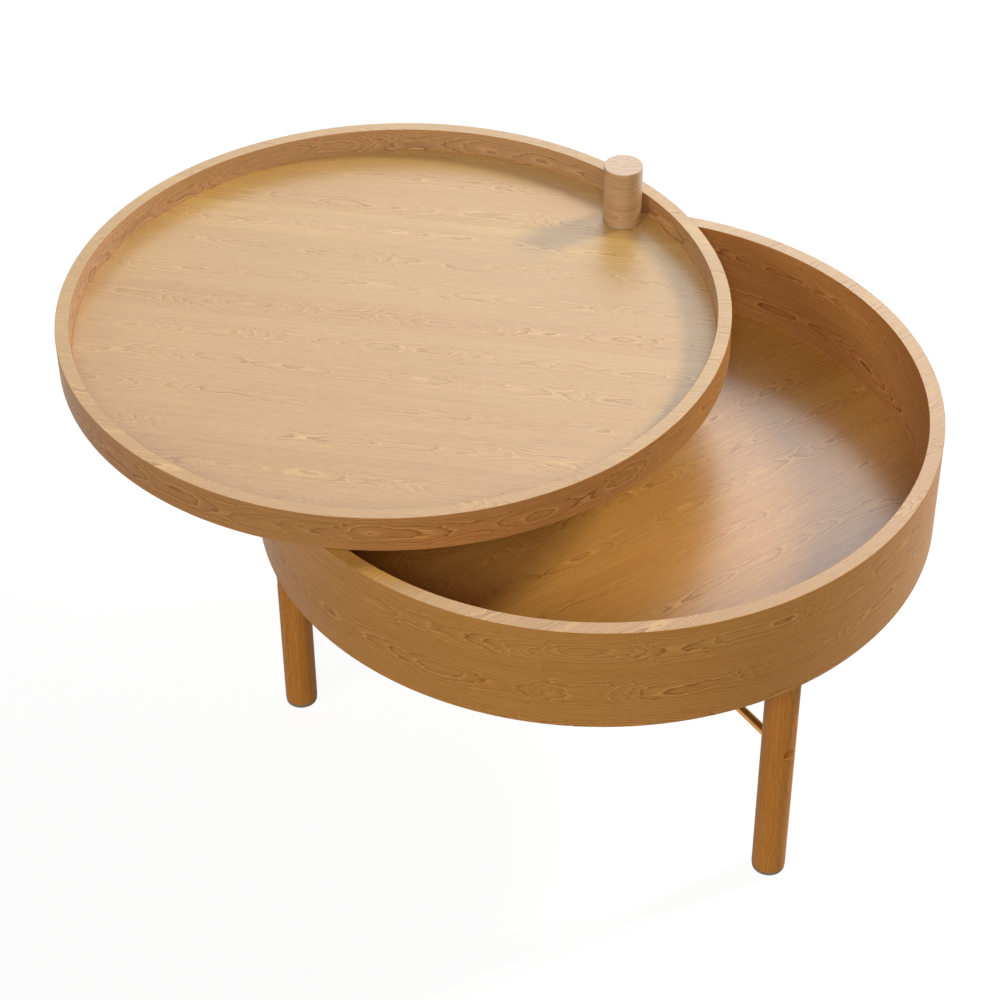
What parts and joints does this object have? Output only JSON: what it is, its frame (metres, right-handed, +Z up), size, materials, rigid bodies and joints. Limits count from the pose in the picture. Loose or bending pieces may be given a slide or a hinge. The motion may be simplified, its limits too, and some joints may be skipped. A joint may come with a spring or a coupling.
{
  "type": "swivel coffee table",
  "caption": "Round oak coffee table: a shallow tray turns about a peg at its edge to uncover an open storage drum on round legs tied by brass rods.",
  "frame": {"origin": "point of the floor under the middle of the drum and of the circle of legs", "axes": "+Z up; -X along the left leg; +X roughly away from the side to which the tray is stored swung out, with the pivot peg 80 degrees round from +X towards +Y"},
  "size_m": [0.9265, 0.8516, 0.4955],
  "materials": {
    "oak_drum": "satin oak veneer on bent and flat board",
    "oak_tray": "satin oak veneer on bent and flat board",
    "oak_legs": "satin solid oak, turned",
    "oak_peg": "satin solid oak, turned",
    "brass": "polished",
    "steel": "zinc plated",
    "nylon": "natural, matt",
    "felt": "pressed wool felt"
  },
  "bodies": {
    "base": {"drum_wall": "oak_drum", "drum_floor": "oak_drum", "leg_back": "oak_legs", "leg_left": "oak_legs", "leg_right": "oak_legs", "foot_pad_back": "felt", "foot_pad_left": "felt", "foot_pad_right": "felt", "rod_back": "brass", "rod_left": "brass", "rod_right": "brass", "rod_hub": "brass", "hub_grub_screws": "steel", "leg_studs": "steel", "leg_inserts": "brass", "pivot_column": "oak_drum", "column_screws": "steel", "pivot_bolt": "steel", "pivot_washer": "steel", "thrust_washer": "nylon", "slip_washer": "nylon", "peg": "oak_peg", "peg_insert": "brass"},
    "tray": {"tray_rim": "oak_tray", "tray_floor": "oak_tray", "tray_bush": "brass"}
  },
  "joints": [
    {"name": "tray_swivel", "type": "hinge", "parent": "base", "child": "tray", "pos_m": [0.05557, 0.31514, 0.418], "axis": [0, 0, 1], "continuous": true}
  ]
}
